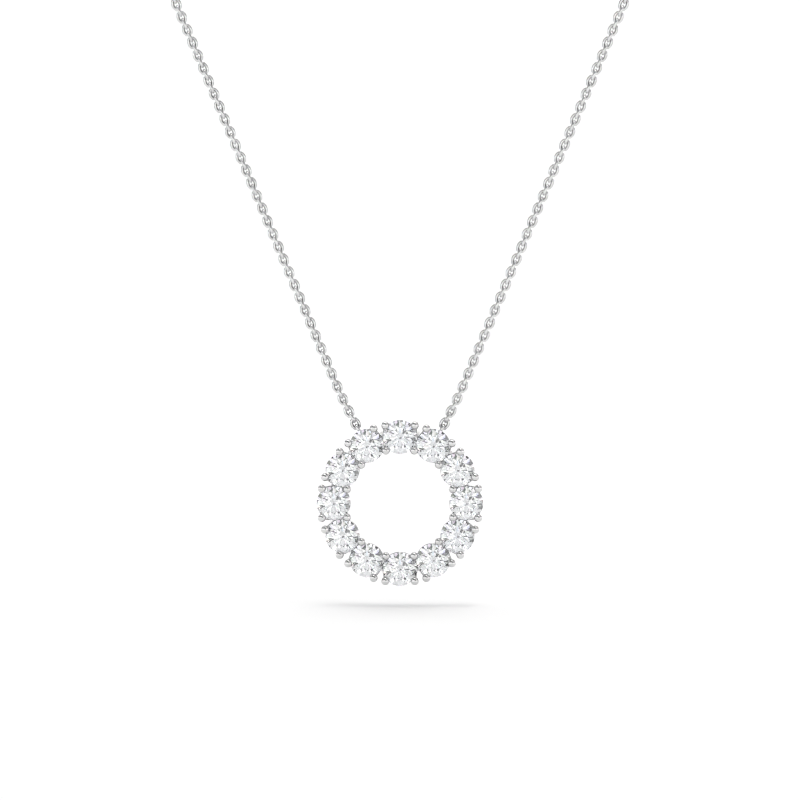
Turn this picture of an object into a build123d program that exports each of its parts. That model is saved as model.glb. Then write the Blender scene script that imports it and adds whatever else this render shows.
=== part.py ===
from build123d import *
import math
import os

# Open circle pendant on a fine cable chain: twelve round brilliants held by shared beads.
# Millimetres, +Z up, the front faces -Y, and the origin is the top of the neck loop.
# Everything is laid out flat first: the circle's centre at (0, 0), 12 o'clock towards +Y, the
# tables of the stones towards +Z and their girdles centred on z = 0. It is stood up at the end.

# Round brilliant stones: facets go round in eight main ones, and shares are of a radius
STONE_COUNT = 12
MAIN_FACETS = 8
STONE_DIAMETER = 3.00
STONE_GAP = 0.04
GIRDLE_THICKNESS = 0.09
TABLE_SHARE = 0.57
CROWN_ANGLE = 34.5
PAVILION_ANGLE = 40.75
STAR_SHARE = 0.50
LOWER_HALF_SHARE = 0.78

# Space left between pieces that nearly touch, the last one on each side of a wire in a link
SEAT_GAP = 0.02
LINK_PLAY = 0.02
LINK_SIDE_PLAY = 0.03

# Prongs and the beads at their tips
BEAD_DIAMETER = 0.74
BEAD_RISE = 0.20
OUTER_BEAD_TURN = 51.4
OUTER_BEAD_OFFSET = 0.17
INNER_BEAD_OFFSET = 0.235
TRUNK_ROOT_DIAMETER = 0.56
TRUNK_TOP_DIAMETER = 0.46
KNOT_DIAMETER = 0.60
KNOT_DEPTH = 0.80
PRONG_ROOT_DIAMETER = 0.38
PRONG_TIP_DIAMETER = 0.28

# Scalloped rail under the inner edge of the girdles
RAIL_DIAMETER = 0.26
RAIL_INSET = 0.09
RAIL_DEPTH = 0.35
RAIL_HALF_TURN = 62.0

# Base ring behind the stones, with a tapered hole behind each of them
BASE_WIDTH = 1.04
BASE_FRONT_DEPTH = 1.10
BASE_THICKNESS = 1.20
BASE_EDGE = 0.12
HOLE_FRONT_DIAMETER = 0.50
HOLE_BACK_DIAMETER = 0.80

# Small rings: two behind the circle and the two eyes of the clasp. The first two lie this depth
# behind the front face of the base ring.
RING_HOLE = 0.56
RING_WIRE = 0.20
RING_DEPTH = 0.10
RING_SOLDER = 0.06
RING_TURN = 30.0

# Cable chain
LINK_PITCH = 0.61
LINK_WIRE = 0.28
NECKLACE_LENGTH = 457.0

# Clasp
CLASP_DIAMETER = 5.40
CLASP_WIRE = 1.00
EYE_SOLDER = 0.10

# Route of the chain on each side, from the ring upwards: a short run, then the long one, both
# measured from the vertical, and then the neck's arc, whose radius follows from the length.
# The bend between the runs takes up its share of the short run.
END_RUN_LENGTH = 3.77
END_RUN_ANGLE = 27.5
LONG_RUN_ANGLE = 22.7
BEND_SHARE = 0.45

stone_radius = STONE_DIAMETER / 2
half_step = 180 / STONE_COUNT
pitch_radius = (STONE_DIAMETER + STONE_GAP) / 2 / math.sin(math.radians(half_step))

crown_height = stone_radius * (1 - TABLE_SHARE) * math.tan(math.radians(CROWN_ANGLE))
pavilion_depth = stone_radius * math.tan(math.radians(PAVILION_ANGLE))
girdle_half = GIRDLE_THICKNESS / 2
table_radius = stone_radius * TABLE_SHARE
culet_depth = girdle_half + pavilion_depth

base_outer = pitch_radius + BASE_WIDTH / 2
base_back_depth = BASE_FRONT_DEPTH + BASE_THICKNESS
chain_depth = BASE_FRONT_DEPTH + RING_DEPTH

ring_middle = (RING_HOLE + RING_WIRE) / 2
ring_outer = RING_HOLE / 2 + RING_WIRE
ring_place = base_outer + ring_outer - RING_SOLDER

# The wire of the next link passes through a link with its play on each side
link_width = 3 * LINK_WIRE + 2 * LINK_SIDE_PLAY
link_inner_length = LINK_PITCH + LINK_PLAY
link_middle_length = link_inner_length + LINK_WIRE
link_middle_width = link_width - LINK_WIRE


def flat_point(radius, turn, height=0.0):
    """The point at a radius from the circle's centre, turned clockwise from 12 o'clock."""
    angle = math.radians(turn)
    return Vector(radius * math.sin(angle), radius * math.cos(angle), height)


def along(start, direction_turn, distance):
    """The point at a distance from start, in a direction turned clockwise from +Y."""
    angle = math.radians(direction_turn)
    return start + Vector(distance * math.sin(angle), distance * math.cos(angle), 0)


def below(solid, point, normal):
    """What is left of a solid behind the plane through a point with an outward normal."""
    return split(solid, bisect_by=Plane(origin=point, z_dir=normal), keep=Keep.BOTTOM)


def girdle_facet(tip, first, second, outward):
    """A plane through three corners of a girdle facet, its normal on the outward side."""
    normal = (first - tip).cross(second - tip)
    if normal.dot(outward) < 0:
        normal = normal * -1
    return tip, normal.normalized()


# Corners where the facets of the stone meet halfway between two main facets, in (radius, height)
half_facet = 180 / MAIN_FACETS
half_main = math.cos(math.radians(half_facet))
star_tip_radius = table_radius * half_main + STAR_SHARE * (stone_radius - table_radius * half_main)
star_tip_height = girdle_half + (stone_radius - star_tip_radius * half_main) * math.tan(
    math.radians(CROWN_ANGLE)
)
lower_tip_radius = stone_radius * (1 - LOWER_HALF_SHARE)
lower_tip_height = -girdle_half - (stone_radius - lower_tip_radius * half_main) * math.tan(
    math.radians(PAVILION_ANGLE)
)
table_height = girdle_half + crown_height


def brilliant():
    """A round brilliant about the Z axis: table, mains, stars and girdle facets on a cylinder."""
    solid = Cylinder(stone_radius, 2 * culet_depth)
    solid = below(solid, Vector(0, 0, table_height), Vector(0, 0, 1))
    star_drop = (table_height - star_tip_height) / (star_tip_radius - table_radius * half_main)
    crown = math.radians(CROWN_ANGLE)
    pavilion = math.radians(PAVILION_ANGLE)
    for facet in range(MAIN_FACETS):
        main = Vector(1, 0, 0).rotate(Axis.Z, 2 * half_facet * facet)
        between = main.rotate(Axis.Z, half_facet)
        crown_edge = main * stone_radius + Vector(0, 0, girdle_half)
        solid = below(solid, crown_edge, main * math.sin(crown) + Vector(0, 0, math.cos(crown)))
        table_edge = between * (table_radius * half_main) + Vector(0, 0, table_height)
        solid = below(solid, table_edge, between * star_drop + Vector(0, 0, 1))
        lower_edge = main * stone_radius - Vector(0, 0, girdle_half)
        solid = below(
            solid, lower_edge, main * math.sin(pavilion) - Vector(0, 0, math.cos(pavilion))
        )
        for side in (-1, 1):
            middle = main.rotate(Axis.Z, side * half_facet)
            crown_tip = middle * star_tip_radius + Vector(0, 0, star_tip_height)
            crown_middle = middle * stone_radius + Vector(0, 0, girdle_half)
            solid = below(solid, *girdle_facet(crown_tip, crown_edge, crown_middle, middle))
            lower_tip = middle * lower_tip_radius + Vector(0, 0, lower_tip_height)
            lower_middle = middle * stone_radius - Vector(0, 0, girdle_half)
            solid = below(solid, *girdle_facet(lower_tip, lower_edge, lower_middle, middle))
    return solid


def seat():
    """The room that a stone takes up when it is turned about its axis, and a gap around it."""
    gap = SEAT_GAP
    outline = Polyline(
        (0, table_height + gap),
        (table_radius + gap, table_height + gap),
        (star_tip_radius + gap, star_tip_height + gap),
        (stone_radius + gap, girdle_half + gap),
        (stone_radius + gap, -girdle_half - gap),
        (lower_tip_radius + gap, lower_tip_height - gap),
        (0, -culet_depth - 2 * gap),
        close=True,
    )
    return revolve(Plane.XZ * make_face(outline), Axis.Z)


def rod(start, end, start_diameter, end_diameter):
    """A round tapered rod between two points."""
    span = end - start
    shape = Cone(
        start_diameter / 2, end_diameter / 2, span.length, align=(Align.CENTER, Align.CENTER, Align.MIN)
    )
    return Plane(origin=start, z_dir=span) * shape


def base_ring():
    """The ring behind the stones, its edges broken, with a tapered hole behind each stone."""
    section = Rectangle(BASE_WIDTH, BASE_THICKNESS)
    section = chamfer(section.vertices(), BASE_EDGE)
    middle_depth = BASE_FRONT_DEPTH + BASE_THICKNESS / 2
    ring = revolve(Plane.XZ * Pos(pitch_radius, -middle_depth) * section, Axis.Z)
    hole = rod(
        Vector(0, 0, -BASE_FRONT_DEPTH + SEAT_GAP),
        Vector(0, 0, -base_back_depth - SEAT_GAP),
        HOLE_FRONT_DIAMETER,
        HOLE_BACK_DIAMETER,
    )
    cut = hole + seat()
    for n in range(STONE_COUNT):
        ring = ring - Pos(flat_point(pitch_radius, 2 * half_step * n)) * cut
    return ring


def bead(place, away):
    """A bead at a prong's tip, its seam turned in the direction away from what it holds."""
    return Plane(origin=place, x_dir=away, z_dir=(0, 0, 1)) * Sphere(BEAD_DIAMETER / 2)


def gap_cell():
    """The metal of the first gap: trunk, forked outer prongs, inner prong, beads and one rail."""
    across = (STONE_DIAMETER + STONE_GAP) / 2
    waist = pitch_radius * math.cos(math.radians(half_step))
    foot = flat_point(waist, half_step, -BASE_FRONT_DEPTH - BASE_THICKNESS / 2)
    knot = flat_point(waist, half_step, -KNOT_DEPTH)
    pieces = [Pos(knot) * Sphere(KNOT_DIAMETER / 2), rail_of_first_stone()]
    inward = math.sqrt((stone_radius + INNER_BEAD_OFFSET) ** 2 - across**2)
    tips = {flat_point(waist - inward, half_step, BEAD_RISE): flat_point(-1, half_step)}
    for side in (-1, 1):
        stone_turn = half_step + side * half_step
        away = along(Vector(0, 0, 0), stone_turn - side * OUTER_BEAD_TURN, 1)
        stone_place = flat_point(pitch_radius, stone_turn, BEAD_RISE)
        tips[stone_place + away * (stone_radius + OUTER_BEAD_OFFSET)] = away
    for tip, away in tips.items():
        pieces.append(rod(knot, tip, PRONG_ROOT_DIAMETER, PRONG_TIP_DIAMETER))
        pieces.append(bead(tip, away))
    metal = rod(foot, knot, TRUNK_ROOT_DIAMETER, TRUNK_TOP_DIAMETER) + pieces
    return metal - [Pos(flat_point(pitch_radius, turn)) * seat() for turn in (0, 2 * half_step)]


def rail_of_first_stone():
    """The arc of round wire that follows a stone's inner edge, below its girdle."""
    arc = CenterArc((0, 0), stone_radius - RAIL_INSET, -90 - RAIL_HALF_TURN, 2 * RAIL_HALF_TURN)
    section = Plane(origin=arc @ 0, z_dir=arc % 0) * Circle(RAIL_DIAMETER / 2)
    return Pos(0, pitch_radius, -RAIL_DEPTH) * sweep(section, path=arc)


def small_ring():
    return Torus(ring_middle, RING_WIRE / 2)


def setting():
    """Base ring, prongs, beads, rails and rear rings as one soldered piece, cut for the stones."""
    metal = base_ring()
    cell = gap_cell()
    for n in range(STONE_COUNT):
        metal = metal + Rot(0, 0, -2 * half_step * n) * cell
    for side in (-1, 1):
        metal = metal + Pos(flat_point(ring_place, side * RING_TURN, -chain_depth)) * small_ring()
    return metal


def link():
    """An oval link of round wire about the origin, long along X and flat in the XY plane."""
    straight = link_middle_length - link_middle_width
    centre_line = SlotCenterToCenter(straight, link_middle_width).wire()
    start = centre_line @ 0
    section = Plane(origin=start, z_dir=centre_line % 0) * Circle(LINK_WIRE / 2)
    return sweep(section, path=centre_line)


def placed_link(place, direction_turn, edge_on):
    """A link at a point of the chain, long in the chain's direction, flat or on its edge."""
    roll = 90 if edge_on else 0
    return Pos(place) * Rot(0, 0, 90 - direction_turn) * Rot(roll, 0, 0) * link()


# Left-hand route in the flat layout. Distances are along the chain, from the ring's centre.
ring_centre = flat_point(ring_place, -RING_TURN, -chain_depth)
hook_gap = (RING_WIRE + LINK_WIRE) / 2 + LINK_PLAY
end_link_distance = ring_middle - hook_gap + link_middle_length / 2
first_link_distance = end_link_distance + LINK_PITCH

bend_turn = END_RUN_ANGLE - LONG_RUN_ANGLE
bend_cut = BEND_SHARE * END_RUN_LENGTH
bend_radius = bend_cut / math.tan(math.radians(bend_turn / 2))
bend_saving = 2 * bend_cut - bend_radius * math.radians(bend_turn)
bend_point = along(ring_centre, -END_RUN_ANGLE, END_RUN_LENGTH)

# The clasp's eye lies this far along the neck's arc from its top, and the last link just beyond
eye_distance = CLASP_DIAMETER / 2 + ring_outer - EYE_SOLDER + ring_middle
last_link_distance = eye_distance - hook_gap + link_middle_length / 2

# A side holds an even number of links, so it starts face-on and ends edge-on. The neck's arc
# takes the radius that makes both sides, the pendant and the clasp the necklace's length.
side_target = (NECKLACE_LENGTH - 2 * abs(ring_centre.X)) / 2
steps_wanted = (side_target - first_link_distance - last_link_distance) / LINK_PITCH
link_count = 2 * round((steps_wanted + 1) / 2)
side_length = (link_count - 1) * LINK_PITCH + first_link_distance + last_link_distance
lean = math.radians(LONG_RUN_ANGLE)
neck_radius = (
    side_length - END_RUN_LENGTH + bend_saving + abs(bend_point.X) / math.sin(lean)
) / (1 / math.tan(lean) + math.pi / 2 + lean)
long_run_length = (neck_radius * math.cos(lean) - abs(bend_point.X)) / math.sin(lean)
neck_start = along(bend_point, -LONG_RUN_ANGLE, long_run_length)
loop_top = neck_start.Y + neck_radius * math.sin(lean) + neck_radius


def neck_point(distance):
    """A point of the neck's arc on the left, at a distance along it from its top."""
    angle = distance / neck_radius
    centre_height = loop_top - neck_radius
    return Vector(
        -neck_radius * math.sin(angle), centre_height + neck_radius * math.cos(angle), -chain_depth
    )


def chain_left():
    """The left side of the chain: a tube as wide as its links, with an open link at each end."""
    tube_start = first_link_distance + link_inner_length / 2 + LINK_PLAY
    tube_end = last_link_distance + link_inner_length / 2 + LINK_PLAY
    first_run_end = along(ring_centre, -END_RUN_ANGLE, END_RUN_LENGTH - bend_cut)
    bend_end = along(bend_point, -LONG_RUN_ANGLE, bend_cut)
    neck_end = neck_point(tube_end)
    neck_turn = 90 + LONG_RUN_ANGLE - math.degrees(tube_end / neck_radius)
    with BuildLine() as route:
        Line(along(ring_centre, -END_RUN_ANGLE, tube_start), first_run_end)
        JernArc(first_run_end, route.line % 1, bend_radius, -bend_turn)
        Line(bend_end, neck_start)
        JernArc(neck_start, neck_start - bend_end, neck_radius, -neck_turn)
    path = route.wire()
    section = Plane(origin=path @ 0, z_dir=path % 0) * Circle(link_width / 2)
    tube = sweep(section, path=path)
    ratio = tube.volume / (math.pi * (link_width / 2) ** 2 * path.length)
    print("chain tube: length %.2f, volume / (section x length) %.5f" % (path.length, ratio))
    print("chain tube: bend radius %.2f, neck radius %.2f" % (bend_radius, neck_radius))
    print("chain tube: end off the neck's arc by %.5f" % (path @ 1 - neck_end).length)
    first_link = placed_link(
        along(ring_centre, -END_RUN_ANGLE, first_link_distance), -END_RUN_ANGLE, edge_on=False
    )
    last_turn = 90 - math.degrees(last_link_distance / neck_radius)
    last_link = placed_link(neck_point(last_link_distance), last_turn, edge_on=True)
    return tube + first_link + last_link


def end_link_left():
    return placed_link(
        along(ring_centre, -END_RUN_ANGLE, end_link_distance), -END_RUN_ANGLE, edge_on=True
    )


def clasp():
    """A plain closed ring with an eye at each side, its eyes on the neck's arc."""
    eye_wire = neck_point(eye_distance)
    eye_across = abs(eye_wire.X) - ring_middle
    ring_radius = (CLASP_DIAMETER - CLASP_WIRE) / 2
    body = Torus(ring_radius, CLASP_WIRE / 2)
    eyes = [Pos(side * eye_across, 0, 0) * small_ring() for side in (-1, 1)]
    return Pos(0, eye_wire.Y, -chain_depth) * (body + eyes)


def stand(solid):
    """Stand a flat piece up, with the chain in the plane y = 0 and the loop's top at the origin."""
    return Pos(0, -chain_depth, -loop_top) * Rot(90, 0, 0) * solid


def write(name, part):
    solid = part.solid()
    solid.label = name
    export_step(solid, os.path.join("parts", name + ".step"))


os.makedirs("parts", exist_ok=True)
write("setting", stand(setting()))
one_stone = brilliant()
for number in range(STONE_COUNT):
    place = flat_point(pitch_radius, 2 * half_step * number)
    write("stone_%02d" % (number + 1), stand(Pos(place) * one_stone))
left_chain = chain_left()
left_end_link = end_link_left()
write("chain_left", stand(left_chain))
write("chain_right", stand(mirror(left_chain, about=Plane.YZ)))
write("end_link_left", stand(left_end_link))
write("end_link_right", stand(mirror(left_end_link, about=Plane.YZ)))
write("clasp", stand(clasp()))
print("links a side %d, side length %.2f" % (link_count, side_length))
print("necklace length %.2f" % (2 * side_length + 2 * abs(ring_centre.X)))
print("pendant centre at z = %.4f, loop top to neck arc centre %.4f" % (-loop_top, neck_radius))
swing = along(ring_centre, -END_RUN_ANGLE, ring_middle)
print("swing axis through x = %.4f, z = %.4f" % (swing.X, swing.Y - loop_top))
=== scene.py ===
"""Finish, chain links and studio for an open circle pendant of twelve round brilliants.

Lengths are metres. +Z is up, the front faces -Y and the origin is the top of the neck loop. The
metal of the pendant is worked out lying flat, with the circle's centre at (0, 0), 12 o'clock
towards +Y, the tables of the stones towards +Z and their girdles on z = 0, and then stood up.
"""

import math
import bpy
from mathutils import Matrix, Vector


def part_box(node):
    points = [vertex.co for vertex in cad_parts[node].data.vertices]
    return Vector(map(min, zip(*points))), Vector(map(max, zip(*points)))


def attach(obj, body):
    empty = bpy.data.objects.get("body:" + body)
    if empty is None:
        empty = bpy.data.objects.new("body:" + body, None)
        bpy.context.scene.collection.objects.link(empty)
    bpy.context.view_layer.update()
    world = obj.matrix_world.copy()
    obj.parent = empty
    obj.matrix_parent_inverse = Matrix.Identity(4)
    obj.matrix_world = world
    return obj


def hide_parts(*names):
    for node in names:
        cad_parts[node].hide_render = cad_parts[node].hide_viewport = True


bl_info = {
    "name": "Open circle pendant",
    "version": (1, 0, 0),
    "blender": (4, 5, 0),
    "location": "View3D > Sidebar > Pendant",
    "description": "Builds the setting, the cable chain, the clasp and a plain studio",
    "category": "Object",
}

from types import SimpleNamespace

import bmesh
import bpy
import numpy as np
from bpy.props import FloatProperty, FloatVectorProperty, PointerProperty

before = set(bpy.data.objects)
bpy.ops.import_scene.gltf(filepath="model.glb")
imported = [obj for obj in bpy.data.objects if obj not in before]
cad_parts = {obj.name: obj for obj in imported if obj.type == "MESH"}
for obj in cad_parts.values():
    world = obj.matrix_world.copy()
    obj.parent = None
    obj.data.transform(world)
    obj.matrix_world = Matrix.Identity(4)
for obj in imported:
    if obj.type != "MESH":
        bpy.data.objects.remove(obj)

MM = 0.001

# Distances below these count as none: between two points, and from a stone's axis.
SAME_POINT = 1e-7
ON_AXIS = 1e-9

# Keeps the sideways direction of a turned profile from falling on the line itself.
ASKEW = (0.3, 0.2, 0.1)

# Faces that meet at more than this angle look sharp. A link of the chain looks smooth all over.
SHARP = math.radians(40)
ALL_SMOOTH = math.pi

# Main facets of a stone's crown or pavilion.
MAINS = 8

# Stations along each turned or drawn surface, and points round it.
ROD_STATIONS = 7
BALL_STATIONS = 25
PRONG_SIDES = 28
KNOT_STATIONS = 15
KNOT_SIDES = 24
TRUNK_STATIONS = 12
TRUNK_SIDES = 28
RAIL_STATIONS = 41
RAIL_SIDES = 16

# Steps of a sector's arcs, and rows from its edge to the rim of its hole.
SECTOR_STEPS = 12
FACE_ROWS = 4

# Broken edge of a hole as a share of the base ring's.
HOLE_EDGE = 0.3

# Steps round a ring, or round each end of a link, and points round its wire.
SMALL_RING = (48, 16)
CLASP_RING = (96, 32)
END_LINK = (16, 16)
CHAIN_LINK = (4, 6)

# Scales of the noise in the finishes, in waves a metre.
CLOUDS = 700.0
RIPPLES = 2600.0
RUBBED_PLACES = 1500.0
MARKS = 16000.0
STONE_TINTS = 420.0

# Y at which the painted light between the stones begins and is full, and the same for the satin.
PAINTED_LIGHT_DEPTHS = (-1.15 * MM, -0.80 * MM)
SATIN_BACK = (-0.08 * MM, 0.12 * MM)

# How far in on a link's wire the painted shade of its outer edge is gone, and that of its inner
# side is full.
EDGE_SHADE_GONE = 0.4
INNER_SHADE_FULL = 0.95

# Heights of a direction, the sines of its elevation, over which the horizon's light gives way to
# the sky's, and over which the gaps between the lamps begin.
ABOVE_HORIZON = (0.12, 0.3)
GAPS_ABOVE = (0.17, 0.22)

# The gaps lie about this azimuth and elevation in degrees, and fade over these cosines. The last
# value is half the width of a gap's edge in the noise.
GAPS_MIDDLE = (0, 25)
GAPS_REACH = (0.4, 0.55)
GAP_EDGE = 0.02

# The faint tints of the light: their scale, the least share of the light and what noise adds to it.
TINT_SCALE = 7.0
TINT_LEAST = 0.8
TINT_ADDS = 0.4


def middle_of(node):
    """The middle of a fixed node's box."""
    low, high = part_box(node)
    return (low + high) / 2


CIRCLE_HEIGHT = middle_of("stone_04").z
STONES = sorted(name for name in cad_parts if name.startswith("stone_"))


def length(name, millimetres, description):
    """A property that holds a length, with its default given in millimetres."""
    return FloatProperty(
        name=name, description=description, default=millimetres * MM, precision=6, unit="LENGTH"
    )


def share(name, value, description):
    """A property that holds a share or another plain number."""
    return FloatProperty(name=name, description=description, default=value, subtype="FACTOR")


def angle(name, degrees, description):
    """A property that holds an angle, with its default given in degrees."""
    return FloatProperty(
        name=name, description=description, default=math.radians(degrees), subtype="ANGLE"
    )


def colour(name, value, description):
    """A property that holds a colour."""
    return FloatVectorProperty(name=name, description=description, default=value, subtype="COLOR")


class StoneSizes(bpy.types.PropertyGroup):
    """The round brilliants, which the metal has to leave room for."""

    diameter: length("Diameter", 3.00, "Girdle diameter of a stone")
    gap: length("Gap", 0.04, "Space between the girdles of neighbours")
    girdle: length("Girdle", 0.09, "Thickness of the girdle")
    table: share("Table", 0.57, "Table's corner radius over the girdle's")
    star: share("Star", 0.50, "Share of the crown's width that a star facet takes")
    lower_half: share("Lower halves", 0.78, "Share of the pavilion's width that they take")
    crown_angle: angle("Crown", 34.5, "Slope of the crown's main facets")
    pavilion_angle: angle("Pavilion", 40.75, "Slope of the pavilion's main facets")
    seat_gap: length("Seat gap", 0.02, "Space between a stone and the metal")


class SettingSizes(bpy.types.PropertyGroup):
    """Beads, prongs, rails and the base ring."""

    bead: length("Bead", 0.74, "Diameter of the bead at a prong's tip")
    bead_rise: length("Bead rise", 0.20, "Height of a bead's centre above the girdles")
    outer_turn: angle("Outer bead turn", 51.4, "Angle of an outer bead round its stone")
    outer_offset: length("Outer bead offset", 0.17, "Outer bead's centre outside the girdle")
    inner_offset: length("Inner bead offset", 0.235, "Inner bead's centre outside the girdles")
    trunk_root: length("Trunk root", 0.56, "Diameter of a trunk at the base ring")
    trunk_top: length("Trunk top", 0.46, "Diameter of a trunk at its knot")
    trunk_flare: length("Trunk flare", 0.03, "Extra radius of the solder round a trunk's root")
    knot: length("Knot", 0.60, "Diameter of the knot where the prongs part")
    knot_depth: length("Knot depth", 0.80, "Depth of a knot behind the girdles")
    prong_root: length("Prong root", 0.38, "Diameter of a prong at its knot")
    prong_tip: length("Prong tip", 0.28, "Diameter of a prong at its bead")
    neck: length("Neck", 0.06, "Width of the blend between a prong and its bead")
    rail: length("Rail", 0.26, "Diameter of the scalloped rail's wire")
    rail_inset: length("Rail inset", 0.09, "Rail's centre line inside the girdle")
    rail_depth: length("Rail depth", 0.35, "Rail's centre line behind the girdles")
    rail_turn: angle("Rail turn", 62.0, "Half of the arc that a rail takes round its stone")
    base_width: length("Base width", 1.04, "Width of the base ring")
    base_depth: length("Base depth", 1.10, "Depth of the base ring's front face")
    base_thickness: length("Base thickness", 1.20, "Thickness of the base ring")
    base_edge: length("Base edge", 0.12, "Broken edge of the base ring")
    hole_front: length("Hole front", 0.50, "Diameter of a hole at the base ring's front")
    hole_back: length("Hole back", 0.80, "Diameter of a hole at the base ring's back")


class ChainSizes(bpy.types.PropertyGroup):
    """Small rings, links, the route of the chain and the clasp."""

    ring_hole: length("Ring hole", 0.56, "Hole of the small rings")
    ring_wire: length("Ring wire", 0.20, "Wire of the small rings")
    ring_depth: length("Ring depth", 0.10, "Depth of the rings behind the base ring's front face")
    ring_solder: length("Ring solder", 0.06, "Overlap of a ring and the base ring")
    ring_turn: angle("Ring turn", 30.0, "Place of the rings from 12 o'clock")
    pitch: length("Pitch", 0.61, "Distance from one link to the next")
    play: length("Play", 0.02, "Space between the wires of two links along the chain")
    side_play: length("Side play", 0.03, "Space on each side of the wire that is in a link")
    wire: length("Wire", 0.28, "Wire of the links")
    total: length("Length", 457.0, "Length wanted of the whole necklace")
    end_run: length("End run", 3.77, "Length of the short run next to the pendant")
    end_angle: angle("End run angle", 27.5, "Lean of the short run")
    long_angle: angle("Long run angle", 22.7, "Lean of the long run")
    bend_share: share("Bend", 0.45, "Share of the short run that the bend takes up")
    clasp: length("Clasp", 5.40, "Outer diameter of the clasp")
    clasp_wire: length("Clasp wire", 1.00, "Wire of the clasp")
    eye_solder: length("Eye solder", 0.10, "Overlap of an eye and the clasp")


class StudioSizes(bpy.types.PropertyGroup):
    """Camera, floor and the light round the pendant."""

    elevation: angle("Elevation", 5.0, "Height of the camera above the horizon")
    distance: length("Distance", 600.0, "Distance of the camera from what it aims at")
    frame_width: length("Frame", 70.65, "Width of the picture at the pendant")
    aim_rise: length("Aim", 9.15, "Height of the picture's middle above the circle's centre")
    floor_drop: length("Floor", 9.24, "Depth of the floor below the circle's centre")
    floor_size: length("Floor size", 9000.0, "Side of the floor")
    floor_glow: share("Floor glow", 0.09, "Light that the floor gives by itself")
    floor_white: share("Floor white", 0.98, "Share of the light that the floor gives back")
    sky: share("Sky", 1.08, "Light of the studio's walls and ceiling")
    horizon: share("Horizon", 1.75, "Light of the studio's walls just above the floor")
    dark: share("Dark", 0.04, "Light of the gaps between the lamps")
    gap_size: share("Gap size", 0.20, "Size of the gaps between the lamps, in radians")
    gap_seed: share("Gap seed", 22.1, "Place in the noise that the gaps are taken from")
    gap_level: share("Gap level", 0.48, "Level of the noise above which there is a gap")


class Finishes(bpy.types.PropertyGroup):
    """Colours of the metal and the stones."""

    bright: colour("Bright metal", (0.69, 0.69, 0.692), "White gold where it is freshly polished")
    warm: colour("Warm metal", (0.66, 0.658, 0.655), "White gold in its warmer clouds")
    drawn: colour("Drawn metal", (0.80, 0.80, 0.805), "White gold of the chain's wire")
    worn: colour("Worn metal", (0.70, 0.70, 0.70), "White gold of the chain where it has dulled")
    # Painted shade of the chain: a dark outer edge and a darker inner side on each link's wire.
    rim: colour("Rim of links", (0.31, 0.31, 0.315), "White gold on the outer edge of links")
    inside: colour("Inside of links", (0.19, 0.19, 0.195), "White gold on the inner side of links")
    # Painted light: a lighter tone for the metal behind the beads, where light comes through the
    # stones.
    painted_stone_light: colour("Hollow metal", (0.88, 0.88, 0.885), "White gold that the stones light")
    back: colour("Back metal", (0.52, 0.52, 0.525), "White gold of the satin back")
    clear: colour("Clear stone", (0.77, 0.78, 0.785), "The stones where they are colourless")
    cool: colour("Cool stone", (0.72, 0.74, 0.77), "The faint tint inside the stones")


def unit(vector):
    """A vector, or each of several, scaled to a length of 1."""
    vector = np.asarray(vector, float)
    return vector / np.linalg.norm(vector, axis=-1, keepdims=True)


def flat_point(radius, turn, height=0.0):
    """The point at a radius from the circle's centre, turned clockwise from 12 o'clock."""
    return np.stack(
        np.broadcast_arrays(radius * np.sin(turn), radius * np.cos(turn), height), axis=-1
    )


def turned_round(points, turn):
    """Flat points turned clockwise about the circle's centre."""
    cosine, sine = math.cos(turn), math.sin(turn)
    x, y, z = np.moveaxis(points, -1, 0)
    return np.stack([x * cosine + y * sine, y * cosine - x * sine, z], axis=-1)


def stood_up(points, depth):
    """Flat points stood up, with the plane at that depth behind the girdles on y = 0."""
    x, y, z = np.moveaxis(points, -1, 0)
    return np.stack([x, -z - depth, y + CIRCLE_HEIGHT], axis=-1)


def surface(grid, rows_close=False, columns_close=True):
    """The points of a grid (rows, columns, 3) as a list, and the quads between neighbours: each
    joins a point to the next in its row, the one beside that in the next row, and the one in its
    own column there."""
    rows, columns = grid.shape[:2]
    row = np.arange(rows if rows_close else rows - 1)[:, None]
    column = np.arange(columns if columns_close else columns - 1)[None, :]
    next_row = (row + 1) % rows
    next_column = (column + 1) % columns
    corners = np.broadcast_arrays(
        row * columns + column,
        row * columns + next_column,
        next_row * columns + next_column,
        next_row * columns + column,
    )
    return grid.reshape(-1, 3), np.stack(corners, axis=-1).reshape(-1, 4)


def joined(surfaces):
    """Several surfaces as one: the faces of each count on from the points before it."""
    starts = np.cumsum([0] + [len(points) for points, faces in surfaces[:-1]])
    points = np.concatenate([points for points, faces in surfaces])
    faces = np.concatenate([faces + start for (points_, faces), start in zip(surfaces, starts)])
    return points, faces


def turned_profile(start, direction, stations, radii, sides):
    """A surface turned about a line: start + station * direction + radius * (cos a * side +
    sin a * other), for each station with its radius and each angle a of a full turn."""
    direction = unit(direction)
    side = unit(np.cross(direction, np.roll(direction, 1) + ASKEW))
    other = np.cross(direction, side)
    turn = np.linspace(0, 2 * math.pi, sides, endpoint=False)[:, None]
    ring = np.cos(turn) * side + np.sin(turn) * other
    stations = np.asarray(stations)[:, None, None]
    return start + stations * direction + np.asarray(radii)[:, None, None] * ring


def wire_along(path, outward, normal, radius, sides):
    """Round wire along a plane path: path + radius * (cos a * outward + sin a * normal), where
    outward is the sideways direction at each point and normal that of the path's plane."""
    turn = np.linspace(0, 2 * math.pi, sides, endpoint=False)[:, None]
    across = np.cos(turn) * outward[:, None, :] + np.sin(turn) * np.asarray(normal)
    return path[:, None, :] + radius * across


def wire_ring(centre, ring_radius, wire_radius, steps, sides):
    """A flat ring of round wire: wire along a circle, with the radius as its outward direction."""
    turn = np.linspace(0, 2 * math.pi, steps, endpoint=False)
    outward = flat_point(1.0, turn)
    path = np.asarray(centre) + ring_radius * outward
    return surface(wire_along(path, outward, (0, 0, 1), wire_radius, sides), rows_close=True)


def small_ring(centre, m):
    """A small ring of the setting, or an eye of the clasp, which is its like."""
    return wire_ring(centre, m.ring_middle, m.chain.ring_wire / 2, *SMALL_RING)


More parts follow.
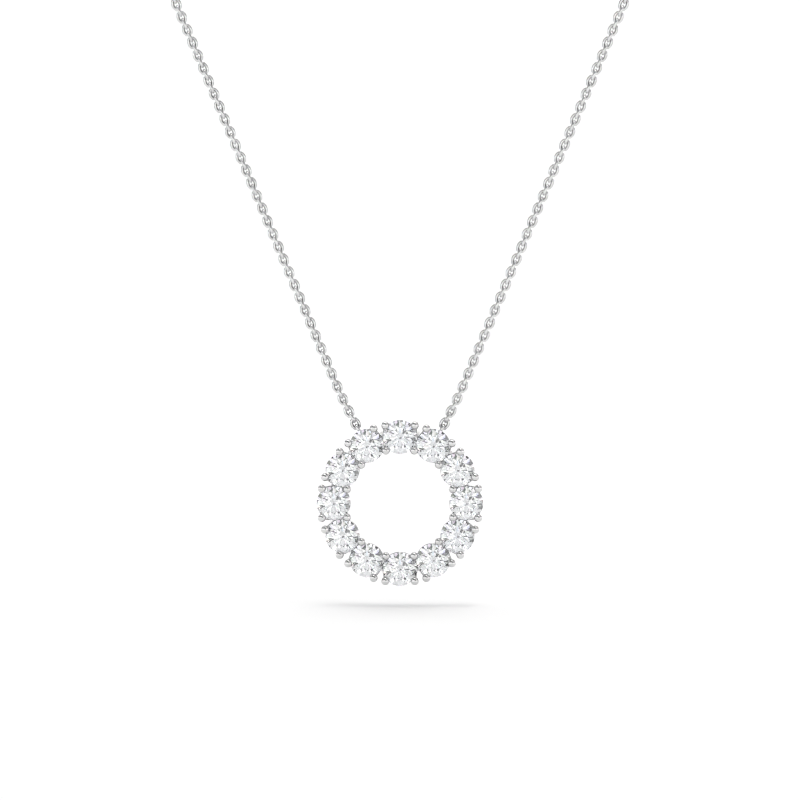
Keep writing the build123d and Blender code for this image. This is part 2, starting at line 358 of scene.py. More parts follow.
def blended_larger(first, second, width):
    """The larger of two numbers, rounded by a parabola where they differ by less than a width."""
    near = np.maximum(width - np.abs(first - second), 0) / width
    return np.maximum(first, second) + near * near * width / 4


def measured():
    """Sizes that follow from the properties, for the pendant in the flat layout."""
    scene = bpy.context.scene
    stone, metal, chain = scene.pendant_stone, scene.pendant_setting, scene.pendant_chain
    m = SimpleNamespace(stone=stone, metal=metal, chain=chain, count=len(STONES))
    m.step = 2 * math.pi / m.count
    m.radius = stone.diameter / 2
    m.pitch_radius = (stone.diameter + stone.gap) / 2 / math.sin(m.step / 2)
    m.base_outer = m.pitch_radius + metal.base_width / 2
    m.base_back = metal.base_depth + metal.base_thickness
    m.chain_depth = metal.base_depth + chain.ring_depth
    m.ring_middle = (chain.ring_hole + chain.ring_wire) / 2
    m.ring_outer = chain.ring_hole / 2 + chain.ring_wire
    m.ring_place = m.base_outer + m.ring_outer - chain.ring_solder
    m.link_length = chain.pitch + chain.play + chain.wire
    m.link_width = 2 * (chain.wire + chain.side_play)
    return m


def seat_outline(m):
    """Corners (distance from the axis, height) of the room that a stone and its gap take up."""
    gap = m.stone.seat_gap
    half_main = math.cos(math.pi / MAINS)
    crown = math.tan(m.stone.crown_angle)
    pavilion = math.tan(m.stone.pavilion_angle)
    half_girdle = m.stone.girdle / 2
    table = m.radius * m.stone.table
    table_height = half_girdle + (m.radius - table) * crown
    star = table * half_main + m.stone.star * (m.radius - table * half_main)
    star_height = half_girdle + (m.radius - star * half_main) * crown
    lower = m.radius * (1 - m.stone.lower_half)
    lower_height = -half_girdle - (m.radius - lower * half_main) * pavilion
    culet_height = -half_girdle - m.radius * pavilion
    return np.array(
        [
            (0, table_height + gap),
            (table + gap, table_height + gap),
            (star + gap, star_height + gap),
            (m.radius + gap, half_girdle + gap),
            (m.radius + gap, -half_girdle - gap),
            (lower + gap, lower_height - gap),
            (0, culet_height - 2 * gap),
        ]
    )


def clear_of_stones(points, m, turns):
    """Move what lies in the seat of a stone to the seat's nearest side. The outline is convex, so a
    point is inside when its distance n . (p - corner) is negative for every side, with n the side's
    outward normal, and the nearest side is the one with the largest distance."""
    outline = seat_outline(m)
    along_side = unit(np.diff(outline, axis=0))
    normals = np.stack([-along_side[:, 1], along_side[:, 0]], axis=-1)
    for turn in turns:
        centre = flat_point(m.pitch_radius, turn)
        from_axis = points[:, :2] - centre[:2]
        distance = np.maximum(np.linalg.norm(from_axis, axis=1), ON_AXIS)
        place = np.stack([distance, points[:, 2]], axis=-1)
        beyond = np.einsum("pki,ki->pk", place[:, None, :] - outline[:-1], normals)
        nearest = beyond.argmax(axis=1)
        depth = np.minimum(beyond.max(axis=1), 0)
        moved = place - depth[:, None] * normals[nearest]
        points = np.column_stack(
            [centre[:2] + from_axis * (moved[:, :1] / distance[:, None]), moved[:, 1]]
        )
    return points


def beaded_prong(root, tip, m):
    """A prong that runs into its bead, turned about the line from root to tip. Its radius is the
    larger of the rod's, which tapers evenly, and the ball's, the root of r squared less the square
    of the distance to the tip, blended where they meet."""
    ball = m.metal.bead / 2
    span = np.linalg.norm(tip - root)
    rod_part = np.linspace(0, span - ball, ROD_STATIONS)[:-1]
    ball_part = span - ball * np.cos(np.linspace(0, math.pi, BALL_STATIONS))
    stations = np.concatenate([[0], rod_part, ball_part])
    taper = (m.metal.prong_root + (m.metal.prong_tip - m.metal.prong_root) * stations / span) / 2
    rod = np.where(stations < span, taper, -m.metal.neck)
    sphere = np.sqrt(np.maximum(ball**2 - (stations - span) ** 2, 0))
    radii = blended_larger(rod, sphere, m.metal.neck)
    radii[0] = 0
    return surface(turned_profile(root, tip - root, stations, radii, PRONG_SIDES))


def knot_ball(centre, m):
    """A ball: the root of r squared less height squared, turned about the vertical."""
    height = -np.cos(np.linspace(0, math.pi, KNOT_STATIONS)) * m.metal.knot / 2
    radii = np.sqrt(np.maximum((m.metal.knot / 2) ** 2 - height**2, 0))
    return surface(turned_profile(centre, (0, 0, 1), height, radii, KNOT_SIDES))


def trunk(foot, knot, m):
    """A tapered trunk, with solder round its root that thins as e to the minus height over half
    its width, from where the trunk leaves the base ring."""
    span = knot[2] - foot[2]
    bare = m.metal.base_thickness / 2
    stations = np.concatenate([[0, 0], np.linspace(bare, span, TRUNK_STATIONS), [span]])
    taper = (m.metal.trunk_root + (m.metal.trunk_top - m.metal.trunk_root) * stations / span) / 2
    flare = m.metal.trunk_flare
    solder = flare * np.exp(-np.maximum(stations - bare, 0) / (flare / 2))
    radii = taper + solder
    radii[[0, -1]] = 0
    return surface(turned_profile(foot, (0, 0, 1), stations, radii, TRUNK_SIDES))


def rail(m):
    """Wire along an arc about the first stone's axis, on the side of the circle's centre, with its
    ends closed by points."""
    half = m.metal.rail_turn
    turn = math.pi + np.linspace(-half, half, RAIL_STATIONS)
    outward = flat_point(1.0, turn)
    centre = flat_point(m.pitch_radius, 0.0, -m.metal.rail_depth)
    path = centre + (m.radius - m.metal.rail_inset) * outward
    grid = wire_along(path, outward, (0, 0, 1), m.metal.rail / 2, RAIL_SIDES)
    ends = [np.broadcast_to(path[i], (1, RAIL_SIDES, 3)) for i in (0, -1)]
    return surface(np.concatenate([ends[0], grid, ends[1]]))


def gap_metal(m):
    """The metal of the first gap between two stones, cut to their seats."""
    half = m.step / 2
    across = (m.stone.diameter + m.stone.gap) / 2
    waist = m.pitch_radius * math.cos(half)
    foot = flat_point(waist, half, -m.metal.base_depth - m.metal.base_thickness / 2)
    knot = flat_point(waist, half, -m.metal.knot_depth)
    inward = math.sqrt((m.radius + m.metal.inner_offset) ** 2 - across**2)
    tips = [flat_point(waist - inward, half, m.metal.bead_rise)]
    for side in (-1, 1):
        stone_turn = half + side * half
        away = flat_point(m.radius + m.metal.outer_offset, stone_turn - side * m.metal.outer_turn)
        tips.append(flat_point(m.pitch_radius, stone_turn, m.metal.bead_rise) + away)
    pieces = [trunk(foot, knot, m), knot_ball(knot, m), rail(m)]
    pieces += [beaded_prong(knot, tip, m) for tip in tips]
    points, faces = joined(pieces)
    return clear_of_stones(points, m, (-m.step, 0, m.step)), faces


def base_sector(m, steps):
    """One stone's share of the base ring. The columns go round the sector's edge, which is two arcs
    and two straight sides, and the rows go from that edge in to the hole along the front face, down
    the hole, and out again along the back face. A face's rows divide the straight lines between
    the edge and the hole's rim, each towards the hole's centre. The hole follows the stone's seat
    as far as its waist and widens from there to the back."""
    edge = m.metal.base_edge
    outer, inner = m.base_outer - edge, m.base_outer - m.metal.base_width + edge
    half = m.step / 2
    arc = np.linspace(-half, half, steps + 1)
    side = np.linspace(0, 1, steps // 2 + 1)
    radius = np.concatenate(
        [
            np.full(steps, outer),
            (outer + (inner - outer) * side)[:-1],
            np.full(steps, inner),
            (inner + (outer - inner) * side)[:-1],
        ]
    )
    turn = np.concatenate(
        [arc[:-1], np.full(steps // 2, half), arc[::-1][:-1], np.full(steps // 2, -half)]
    )
    border = flat_point(radius, turn)
    centre = flat_point(m.pitch_radius, 0.0)
    towards = unit(border - centre)
    lower, culet = seat_outline(m)[-2:]
    seat_run = lower - culet
    front = -m.metal.base_depth
    seat_radius = culet[0] + seat_run[0] * (front - culet[1]) / seat_run[1]
    waist_radius = m.metal.hole_front / 2 + m.stone.seat_gap / 2
    waist = culet[1] + seat_run[1] * waist_radius / seat_run[0]
    rim = HOLE_EDGE * edge
    hole = [
        (seat_radius + rim, front),
        (seat_radius, front - rim / 2),
        (waist_radius, waist),
        (m.metal.hole_back / 2, -m.base_back + rim),
        (m.metal.hole_back / 2 + rim, -m.base_back),
    ]
    hole_rows = [centre + r * towards + (0, 0, z) for r, z in hole]
    border_rows = [border + (0, 0, z) for z in (front, -m.base_back)]
    share_out = np.linspace(1, 0, FACE_ROWS)[:-1, None, None]
    front_rows = hole_rows[0] + (border_rows[0] - hole_rows[0]) * share_out
    back_rows = hole_rows[-1] + (border_rows[1] - hole_rows[-1]) * share_out[::-1]
    return surface(np.concatenate([front_rows, np.array(hole_rows), back_rows]))


def base_walls(m, steps):
    """The outer and inner walls of the base ring with their broken edges, turned about the circle's
    centre in the same steps as the sectors' arcs."""
    edge = m.metal.base_edge
    front, back = -m.metal.base_depth, -m.base_back
    outer, inner = m.base_outer, m.base_outer - m.metal.base_width
    turn = m.step / 2 + np.arange(steps * m.count) * (m.step / steps)
    walls = []
    for radius, cut in ((outer, -edge), (inner, edge)):
        radii = np.array([radius + cut, radius, radius, radius + cut])[:, None]
        heights = np.array([front, front - edge, back + edge, back])[:, None]
        walls.append(surface(flat_point(radii, turn[None, :], heights)))
    return walls


def copies_round(points, faces, m):
    """The same surface once for each stone, turned about the circle's centre."""
    return [(turned_round(points, n * m.step), faces) for n in range(m.count)]


def link_outline(m, end_steps):
    """Centre line of a link and its outward directions: half circles about two centres."""
    turn = np.linspace(-math.pi / 2, math.pi / 2, end_steps + 1)
    turn = np.concatenate([turn, turn + math.pi])
    outward = np.stack([np.cos(turn), np.sin(turn), np.zeros_like(turn)], axis=-1)
    straight = (m.link_length - m.link_width) / 2
    centre = np.where(np.cos(turn) > 0, straight, -straight)
    centre[[0, end_steps]] = straight
    centre[[end_steps + 1, -1]] = -straight
    path = m.link_width / 2 * outward
    path[:, 0] += centre
    return path, outward


def links_at(places, directions, edge_on, m, end_steps, sides):
    """One link at each place: place + long * direction + wide * sideways + thick * normal, where an
    edge-on link has its width along Y and a face-on link lies in the plane of the chain. The last
    value tells how far in each point is on its wire, (1 - cos a) / 2, which places the finish's
    painted shade, and goes only from a half to 1 on an edge-on link, whose outer edge gets none."""
    path, outward = link_outline(m, end_steps)
    grid = wire_along(path, outward, (0, 0, 1), m.chain.wire / 2, sides)
    local, faces = surface(grid, rows_close=True)
    depth = np.array([0.0, 1.0, 0.0])
    in_plane = np.cross(depth, directions)
    sideways = np.where(edge_on[:, None], depth, in_plane)
    normal = np.cross(directions, sideways)
    points = places[:, None, :] + sum(
        local[None, :, axis, None] * basis[:, None, :]
        for axis, basis in enumerate((directions, sideways, normal))
    )
    starts = np.arange(len(places))[:, None, None] * len(local)
    inward = (1 - np.cos(np.linspace(0, 2 * math.pi, sides, endpoint=False))) / 2
    # An edge-on link gets no painted shade on its outer edge.
    inward = np.where(edge_on[:, None, None], (1 + inward) / 2, inward)
    inward = np.broadcast_to(inward, (len(places), len(path), sides)).ravel()
    return points.reshape(-1, 3), (faces[None] + starts).reshape(-1, 4), inward


def chain_route(m):
    """The left-hand route in the standing plane y = 0, from the ring's centre up to the top of the
    loop: a short run, a bend, a long run and the neck's arc, whose radius gives the length."""
    c = m.chain
    r = SimpleNamespace()
    ring = flat_point(m.ring_place, -c.ring_turn)
    hook = (c.ring_wire + c.wire) / 2 + c.play
    r.end_link = m.ring_middle - hook + m.link_length / 2
    r.first_link = r.end_link + c.pitch
    r.ring = ring[:2]
    bend = c.end_angle - c.long_angle
    cut = c.bend_share * c.end_run
    r.bend_radius = cut / math.tan(bend / 2)
    r.bend_length = r.bend_radius * bend
    bend_point = r.ring + c.end_run * np.array([-math.sin(c.end_angle), math.cos(c.end_angle)])
    r.eye = c.clasp / 2 + m.ring_outer - c.eye_solder + m.ring_middle
    last_link = r.eye - hook + m.link_length / 2
    wanted = (c.total - 2 * abs(ring[0])) / 2
    r.count = 2 * round(((wanted - r.first_link - last_link) / c.pitch + 1) / 2)
    r.length = (r.count - 1) * c.pitch + r.first_link + last_link
    lean = c.long_angle
    saving = 2 * cut - r.bend_length
    out = abs(bend_point[0])
    r.neck_radius = (r.length - c.end_run + saving + out / math.sin(lean)) / (
        1 / math.tan(lean) + math.pi / 2 + lean
    )
    r.short_run = c.end_run - cut
    r.long_run = (r.neck_radius * math.cos(lean) - out) / math.sin(lean) - cut
    return r


def route_points(distances, m, r):
    """Points and upward directions of the left-hand route at distances from the ring's centre. Each
    stretch turns evenly, by distance over radius, so its points follow from its start as
    radius * (cos a - cos b, sin b - sin a) with a and b its first and present lean."""
    c = m.chain
    ends = np.cumsum([r.short_run, r.bend_length, r.long_run])
    on_bend = np.clip(distances - ends[0], 0, r.bend_length)
    on_long = np.clip(distances - ends[1], 0, r.long_run)
    on_neck = np.maximum(distances - ends[2], 0)
    bend_lean = c.end_angle - on_bend / r.bend_radius
    neck_lean = c.long_angle - on_neck / r.neck_radius
    lean = np.where(on_neck > 0, neck_lean, bend_lean)
    short = np.minimum(distances, ends[0])
    left = (
        short * math.sin(c.end_angle)
        + r.bend_radius * (np.cos(bend_lean) - math.cos(c.end_angle))
        + on_long * math.sin(c.long_angle)
        + r.neck_radius * (np.cos(neck_lean) - math.cos(c.long_angle))
    )
    up = (
        short * math.cos(c.end_angle)
        + r.bend_radius * (math.sin(c.end_angle) - np.sin(bend_lean))
        + on_long * math.cos(c.long_angle)
        + r.neck_radius * (math.sin(c.long_angle) - np.sin(neck_lean))
    )
    still = np.zeros_like(left)
    points = np.stack([r.ring[0] - left, still, r.ring[1] + up + CIRCLE_HEIGHT], axis=-1)
    directions = np.stack([-np.sin(lean), still, np.cos(lean)], axis=-1)
    return points, directions


def mirrored(points, side):
    """Left-hand points as they are for side -1, and mirrored about the middle for side 1."""
    return points * (-side, 1, 1)


class Term:
    """A number from a shader node. Arithmetic on it adds Math nodes to its sheet."""

    def __init__(self, sheet, socket):
        self.sheet = sheet
        self.socket = socket

    def math(self, operation, *values):
        """A Math node on terms or plain numbers."""
        return self.sheet.node("ShaderNodeMath", {"operation": operation}, dict(enumerate(values)))

    def __add__(self, other):
        return self.math("ADD", self, other)

    def __radd__(self, other):
        return self.math("ADD", other, self)

    def __sub__(self, other):
        return self.math("SUBTRACT", self, other)

    def __rsub__(self, other):
        return self.math("SUBTRACT", other, self)

    def __mul__(self, other):
        return self.math("MULTIPLY", self, other)

    def __rmul__(self, other):
        return self.math("MULTIPLY", other, self)


class Sheet:
    """The node tree of one material or of the studio's light."""

    def __init__(self, tree):
        self.tree = tree
        tree.nodes.clear()

    def node(self, kind, settings=None, sockets=None, output=0):
        """Add a node, with its settings first and then values or links on its sockets, and give one
        of its outputs as a term, or nothing where it has none."""
        node = self.tree.nodes.new(kind)
        for name, value in (settings or {}).items():
            setattr(node, name, value)
        for key, value in (sockets or {}).items():
            if isinstance(value, Term):
                self.tree.links.new(value.socket, node.inputs[key])
            else:
                node.inputs[key].default_value = value
        return Term(self, node.outputs[output]) if node.outputs else None

    def mixed(self, factor, first, second):
        """One colour into another by a factor."""
        sockets = {0: factor, 6: first, 7: second}
        return self.node("ShaderNodeMix", {"data_type": "RGBA"}, sockets, output=2)

    def noise(self, place, scale, detail=2.0, seed=0.0):
        """Soft noise from 0 to 1, with finer waves on it for each step of detail."""
        sockets = {"Vector": place, "W": seed, "Scale": scale, "Detail": detail}
        return self.node("ShaderNodeTexNoise", {"noise_dimensions": "4D"}, sockets)

    def between(self, value, low, high):
        """0 below low, 1 above high and a smooth step between."""
        sockets = {"Value": value, "From Min": low, "From Max": high}
        return self.node("ShaderNodeMapRange", {"interpolation_type": "SMOOTHSTEP"}, sockets)

    def place(self):
        """The place on the piece: Object coordinates, in metres."""
        return self.node("ShaderNodeTexCoord", output=3)

    def cosine(self, way, direction):
        """The cosine of the angle between a way and a fixed direction: their dot product."""
        sockets = {0: way, 1: direction}
        return self.node("ShaderNodeVectorMath", {"operation": "DOT_PRODUCT"}, sockets, output=1)

    def bump(self, height, strength, distance):
        """Slopes of the skin from a height, for a shader's normal."""
        sockets = {"Strength": strength, "Distance": distance, "Height": height}
        return self.node("ShaderNodeBump", None, sockets)

    def shaded(self, sockets):
        """The shader with these values or links on its sockets, as the material's surface."""
        shader = self.node("ShaderNodeBsdfPrincipled", None, sockets)
        self.node("ShaderNodeOutputMaterial", None, {"Surface": shader})


def new_material(name):
    """A new material, and the sheet of its empty node tree."""
    material = bpy.data.materials.new(name)
    material.use_nodes = True
    return material, Sheet(material.node_tree)


def opaque(values):
    """A colour as a socket takes it."""
    return (*values, 1.0)


def grey(level):
    """The grey of a level, as a socket takes it."""
    return (level, level, level, 1.0)


def white_gold_material():
    """White gold of the setting, softly polished: faint warm clouds, a lighter tone painted on the
    metal between and behind the stones for light that comes through them, a greyer satin on the
    base ring's walls and back, polishing marks that show in the roughness, and a skin that is not
    quite
    level. Y tells the places apart: it is 0 just behind the base ring's front face."""
    tones = bpy.context.scene.pendant_finish
    material, sheet = new_material("polished_white_gold")
    place = sheet.place()
    cloud = sheet.between(sheet.noise(place, CLOUDS), 0.35, 0.65)
    tone = sheet.mixed(cloud, opaque(tones.bright), opaque(tones.warm))
    depth = sheet.node("ShaderNodeSeparateXYZ", None, {0: place}, output=1)
    # Painted light: the metal behind the beads takes a lighter tone, for light that comes through
    # the stones.
    tone = sheet.mixed(sheet.between(depth, *PAINTED_LIGHT_DEPTHS), tone, opaque(tones.painted_stone_light))
    satin = sheet.between(depth, *SATIN_BACK)
    tone = sheet.mixed(satin, tone, opaque(tones.back))
    marks = sheet.noise(place, MARKS, detail=3.0)
    ripple = sheet.noise(place, RIPPLES, detail=1.0)
    sheet.shaded(
        {
            "Base Color": tone,
            "Metallic": 1.0,
            "Roughness": 0.17 + 0.07 * marks + 0.08 * satin,
            "Normal": sheet.bump(ripple, 0.25, 0.01 * MM),
        }
    )
    return material


def drawn_gold_material():
    """White gold of the chain: bright drawn wire, duller in clouds, with painted shade that is
    greyer along the outer edge of each link's wire and dark on its inner side. The clasp, which
    says nothing about how far in its points are, has the outer edge's painted shade all over."""
    tones = bpy.context.scene.pendant_finish
    material, sheet = new_material("drawn_white_gold")
    place = sheet.place()
    rubbed = sheet.between(sheet.noise(place, RUBBED_PLACES), 0.4, 0.65)
    tone = sheet.mixed(rubbed, opaque(tones.drawn), opaque(tones.worn))
    inward = sheet.node("ShaderNodeAttribute", {"attribute_name": "inward"}, output=2)
    # Painted shade: the outer edge of a link's wire and, darker still, its inner side.
    tone = sheet.mixed(sheet.between(inward, 0.0, EDGE_SHADE_GONE), opaque(tones.rim), tone)
    tone = sheet.mixed(sheet.between(inward, EDGE_SHADE_GONE, INNER_SHADE_FULL), tone, opaque(tones.inside))
    marks = sheet.noise(place, MARKS, detail=3.0)
    sheet.shaded(
        {
            "Base Color": tone,
            "Metallic": 1.0,
            "Roughness": 0.06 + 0.08 * rubbed,
            "Normal": sheet.bump(marks, 0.2, 0.005 * MM),
        }
    )
    return material


def clear_stone_material():
    """Colourless cut stone: it bends light as strongly as diamond, with a faint cool cast."""
    tones = bpy.context.scene.pendant_finish
    material, sheet = new_material("cut_clear_stone")
    cast = sheet.between(sheet.noise(sheet.place(), STONE_TINTS), 0.4, 0.7)
    tone = sheet.mixed(cast, opaque(tones.clear), opaque(tones.cool))
    sheet.shaded({"Base Color": tone, "Roughness": 0.0, "IOR": 2.42, "Transmission Weight": 1.0})
    return material


def floor_material():
    """A white floor that gives some light by itself, so that it stays white in the picture."""
    studio = bpy.context.scene.pendant_studio
    material, sheet = new_material("white_floor")
    matt = sheet.node("ShaderNodeBsdfDiffuse", None, {"Color": grey(studio.floor_white)})
    glow = sheet.node("ShaderNodeEmission", None, {"Strength": studio.floor_glow})
    both = sheet.node("ShaderNodeAddShader", None, {0: matt, 1: glow})
    sheet.node("ShaderNodeOutputMaterial", None, {"Surface": both})
    return material


def material_named(name, make):
    """The material of that name, made the first time that it is asked for."""
    return bpy.data.materials.get(name) or make()


def add_piece(name, body, nodes, points, faces, finish, sharp=SHARP, inward=None):
    """A finished piece of white gold: one mesh that stands for the nodes and rides on a body.
    Points that coincide are merged, which closes seams and poles, and the faces are turned
    outwards. How far in each point is on its wire is kept for the finish, where it is given."""
    mesh = bpy.data.meshes.new(name)
    mesh.from_pydata(points.tolist(), [], faces.tolist())
    if inward is not None:
        mesh.attributes.new("inward", "FLOAT", "POINT").data.foreach_set("value", inward)
    shape = bmesh.new()
    shape.from_mesh(mesh)
    bmesh.ops.remove_doubles(shape, verts=shape.verts, dist=SAME_POINT)
    bmesh.ops.recalc_face_normals(shape, faces=shape.faces)
    shape.to_mesh(mesh)
    shape.free()
    mesh.shade_smooth()
    mesh.set_sharp_from_angle(angle=sharp)
    mesh.materials.append(finish)
    piece = bpy.data.objects.new(name, mesh)
    bpy.context.scene.collection.objects.link(piece)
    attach(piece, body)
    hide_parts(*nodes)
    return piece


class PENDANT_OT_setting(bpy.types.Operator):
    """Build the metal that holds the stones"""

    bl_idname = "pendant.setting"
    bl_label = "Setting"

    def execute(self, context):
        m = measured()
        pieces = copies_round(*gap_metal(m), m)
        pieces += copies_round(*base_sector(m, SECTOR_STEPS), m)
        pieces += base_walls(m, SECTOR_STEPS)
        for side in (-1, 1):
            centre = flat_point(m.ring_place, side * m.chain.ring_turn, -m.chain_depth)
            pieces.append(small_ring(centre, m))
        points, faces = joined(pieces)
        finish = material_named("polished_white_gold", white_gold_material)
        points = stood_up(points, m.chain_depth)
        add_piece("shared_bead_setting", "pendant", ["setting"], points, faces, finish)
        return {"FINISHED"}


class PENDANT_OT_stones(bpy.types.Operator):
    """Give the stones their finish"""

    bl_idname = "pendant.stones"
    bl_label = "Stones"

    def execute(self, context):
        finish = material_named("cut_clear_stone", clear_stone_material)
        for name in STONES:
            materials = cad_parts[name].data.materials
            materials.clear()
            materials.append(finish)
        return {"FINISHED"}


class PENDANT_OT_end_links(bpy.types.Operator):
    """Build the link through each ring of the setting"""

    bl_idname = "pendant.end_links"
    bl_label = "End links"

    def execute(self, context):
        m = measured()
        route = chain_route(m)
        places, directions = route_points(np.array([route.end_link]), m, route)
        points, faces, inward = links_at(places, directions, np.array([True]), m, *END_LINK)
        finish = material_named("drawn_white_gold", drawn_gold_material)
        for side, word in ((-1, "left"), (1, "right")):
            node = "end_link_" + word
            links = mirrored(points, side)
            add_piece("ring_link_" + word, "chain", [node], links, faces, finish, inward=inward)
        return {"FINISHED"}


class PENDANT_OT_chains(bpy.types.Operator):
    """Build both sides of the cable chain, link by link"""

    bl_idname = "pendant.chains"
    bl_label = "Cable chain"

    def execute(self, context):
        m = measured()
        route = chain_route(m)
        order = np.arange(route.count)
        places, directions = route_points(route.first_link + order * m.chain.pitch, m, route)
        points, faces, inward = links_at(places, directions, order % 2 == 1, m, *CHAIN_LINK)
        finish = material_named("drawn_white_gold", drawn_gold_material)
        for side, word in ((-1, "left"), (1, "right")):
            node = "chain_" + word
            links = mirrored(points, side)
            name = "cable_links_" + word
            add_piece(name, "chain", [node], links, faces, finish, ALL_SMOOTH, inward)
        return {"FINISHED"}


class PENDANT_OT_clasp(bpy.types.Operator):
    """Build the plain closed clasp with its two eyes"""

    bl_idname = "pendant.clasp"
    bl_label = "Clasp"

    def execute(self, context):
        m = measured()
        route = chain_route(m)
        places, directions = route_points(np.array([route.length - route.eye]), m, route)
        height = places[0, 2] - CIRCLE_HEIGHT
        across = abs(places[0, 0]) - m.ring_middle
        wire = m.chain.clasp_wire
        centre = (0, height, -m.chain_depth)
        rings = [wire_ring(centre, (m.chain.clasp - wire) / 2, wire / 2, *CLASP_RING)]
        for side in (-1, 1):
            rings.append(small_ring((side * across, height, -m.chain_depth), m))
        points, faces = joined(rings)
        finish = material_named("drawn_white_gold", drawn_gold_material)
        add_piece("plain_clasp", "chain", ["clasp"], stood_up(points, m.chain_depth), faces, finish)
        return {"FINISHED"}


def direction_of(azimuth, elevation):
    """The way towards a part of the studio, the azimuth clockwise from the camera's side as seen
    from above, both in degrees."""
    azimuth, elevation = math.radians(azimuth), math.radians(elevation)
    flat = math.cos(elevation)
    return (-math.sin(azimuth) * flat, -math.cos(azimuth) * flat, math.sin(elevation))


# Parts of the studio: azimuth and elevation of the middle, half width and soft edge in degrees, and
# the light it gives. The last ones on the list lie over the first.
STUDIO_PARTS = {
    "left gap": (103, 28, 15, 5, (0.1, 0.1, 0.1)),
    "right gap": (-103, 28, 15, 5, (0.1, 0.1, 0.1)),
    "top lamp": (0, 88, 9, 3, (5.5, 5.5, 5.5)),
    "left box": (32, 24, 9, 3, (1.7, 1.7, 1.8)),
    "right stand": (-17, 15, 7, 2, (0.03, 0.035, 0.05)),
    "lens": (0, 5, 2.5, 1, (0.02, 0.02, 0.02)),
}


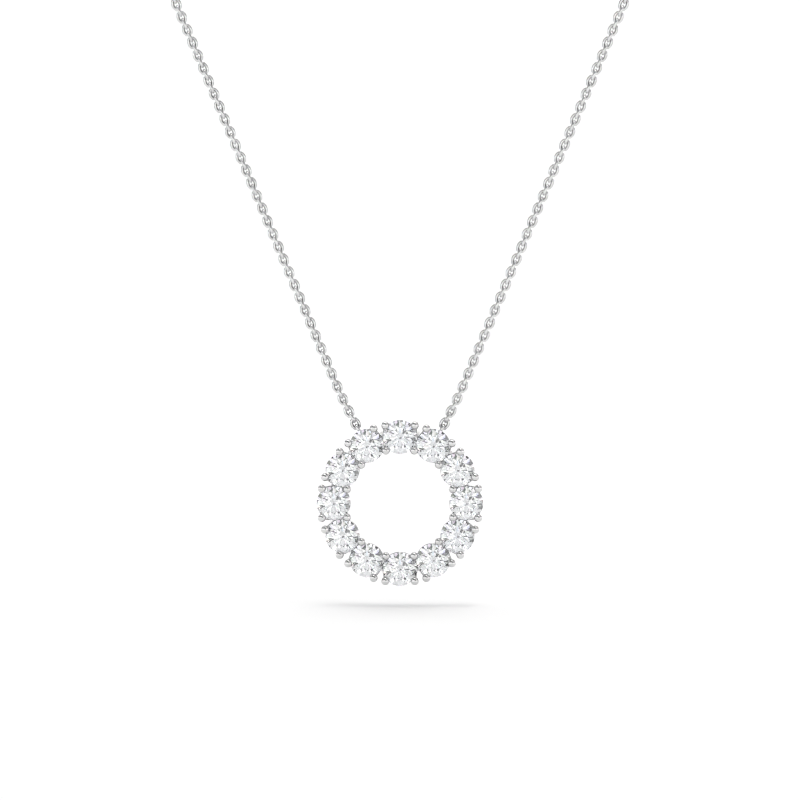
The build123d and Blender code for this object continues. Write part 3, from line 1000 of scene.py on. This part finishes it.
class PENDANT_OT_studio(bpy.types.Operator):
    """Set up the floor, the light and the camera"""

    bl_idname = "pendant.studio"
    bl_label = "Studio"

    def execute(self, context):
        m = measured()
        self.add_floor(context)
        self.add_light(context)
        self.add_camera(context, m)
        scene = context.scene
        scene.view_settings.view_transform = "Standard"
        scene.cycles.filter_width = 1.0
        scene.cycles.max_bounces = 24
        scene.cycles.transmission_bounces = 24
        scene.cycles.glossy_bounces = 8
        scene.cycles.diffuse_bounces = 3
        return {"FINISHED"}

    def add_floor(self, context):
        """A level square under the pendant."""
        studio = context.scene.pendant_studio
        half = studio.floor_size / 2
        reach = np.array([-half, half])
        x, y = np.meshgrid(reach, reach)
        points, faces = surface(
            np.stack([x, y, np.full_like(x, CIRCLE_HEIGHT - studio.floor_drop)], axis=-1),
            columns_close=False,
        )
        mesh = bpy.data.meshes.new("floor")
        mesh.from_pydata(points.tolist(), [], faces.tolist())
        mesh.materials.append(floor_material())
        floor = bpy.data.objects.new("floor", mesh)
        context.scene.collection.objects.link(floor)

    def add_light(self, context):
        """The light from each direction. The horizon is brighter than the sky. Gaps between the
        lamps are dark places in front of the pendant, where noise is above a level. Over them
        comes each part of the studio, where the cosine of the angle to the part's middle is larger
        than its edge's, and at the end faint tints change all of it."""
        studio = context.scene.pendant_studio
        world = bpy.data.worlds.new("studio")
        context.scene.world = world
        world.use_nodes = True
        sheet = Sheet(world.node_tree)
        way = sheet.node("ShaderNodeTexCoord", output=0)
        height = sheet.node("ShaderNodeSeparateXYZ", None, {0: way}, output=2)
        low = 1 - sheet.between(height, *ABOVE_HORIZON)
        light = sheet.mixed(low, grey(studio.sky), grey(studio.horizon))
        noise = sheet.noise(way, 1 / studio.gap_size, 0.0, studio.gap_seed)
        gaps = sheet.between(noise, studio.gap_level - GAP_EDGE, studio.gap_level + GAP_EDGE)
        in_front = sheet.cosine(way, direction_of(*GAPS_MIDDLE))
        gaps = gaps * sheet.between(in_front, *GAPS_REACH) * sheet.between(height, *GAPS_ABOVE)
        light = sheet.mixed(gaps, light, grey(studio.dark))
        for azimuth, elevation, half_width, soft, tone in STUDIO_PARTS.values():
            towards = sheet.cosine(way, direction_of(azimuth, elevation))
            far = math.cos(math.radians(half_width + soft))
            near = math.cos(math.radians(half_width))
            light = sheet.mixed(sheet.between(towards, far, near), light, opaque(tone))
        sockets = {"Vector": way, "Scale": TINT_SCALE, "Detail": 0.0}
        colours = sheet.node("ShaderNodeTexNoise", None, sockets, output=1)
        sockets = {0: colours, 1: [TINT_ADDS] * 3, 2: [TINT_LEAST] * 3}
        cast = sheet.node("ShaderNodeVectorMath", {"operation": "MULTIPLY_ADD"}, sockets)
        light = sheet.node("ShaderNodeVectorMath", {"operation": "MULTIPLY"}, {0: light, 1: cast})
        glow = sheet.node("ShaderNodeBackground", None, {"Color": light})
        sheet.node("ShaderNodeOutputWorld", None, {"Surface": glow})

    def add_camera(self, context, m):
        """A camera in front of the pendant, raised and tilted down by its elevation. Its angle of
        view is twice the one whose tangent is half the frame's width over the distance."""
        studio = context.scene.pendant_studio
        data = bpy.data.cameras.new("camera")
        camera = bpy.data.objects.new("camera", data)
        context.scene.collection.objects.link(camera)
        data.sensor_fit = "HORIZONTAL"
        data.angle = 2 * math.atan(studio.frame_width / 2 / studio.distance)
        data.clip_start = studio.distance / 100
        data.clip_end = studio.floor_size
        rise, back = math.sin(studio.elevation), math.cos(studio.elevation)
        camera.location = (
            0,
            -m.chain_depth - studio.distance * back,
            CIRCLE_HEIGHT + studio.aim_rise + studio.distance * rise,
        )
        camera.rotation_euler = (math.pi / 2 - studio.elevation, 0, 0)
        context.scene.camera = camera


OPERATORS = (
    PENDANT_OT_setting,
    PENDANT_OT_stones,
    PENDANT_OT_end_links,
    PENDANT_OT_chains,
    PENDANT_OT_clasp,
    PENDANT_OT_studio,
)


class PENDANT_PT_panel(bpy.types.Panel):
    """The pendant's build steps, in order"""

    bl_label = "Open circle pendant"
    bl_space_type = "VIEW_3D"
    bl_region_type = "UI"
    bl_category = "Pendant"

    def draw(self, context):
        for operator in OPERATORS:
            self.layout.operator(operator.bl_idname)


GROUPS = {
    "pendant_stone": StoneSizes,
    "pendant_setting": SettingSizes,
    "pendant_chain": ChainSizes,
    "pendant_studio": StudioSizes,
    "pendant_finish": Finishes,
}


def register():
    for group in GROUPS.values():
        bpy.utils.register_class(group)
    for name, group in GROUPS.items():
        setattr(bpy.types.Scene, name, PointerProperty(type=group))
    for operator in OPERATORS:
        bpy.utils.register_class(operator)
    bpy.utils.register_class(PENDANT_PT_panel)


def unregister():
    bpy.utils.unregister_class(PENDANT_PT_panel)
    for operator in reversed(OPERATORS):
        bpy.utils.unregister_class(operator)
    for name in GROUPS:
        delattr(bpy.types.Scene, name)
    for group in reversed(GROUPS.values()):
        bpy.utils.unregister_class(group)


def main():
    """Build everything."""
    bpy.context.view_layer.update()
    register()
    bpy.ops.pendant.setting()
    bpy.ops.pendant.stones()
    bpy.ops.pendant.end_links()
    bpy.ops.pendant.chains()
    bpy.ops.pendant.clasp()
    bpy.ops.pendant.studio()


if __name__ == "__main__":
    main()
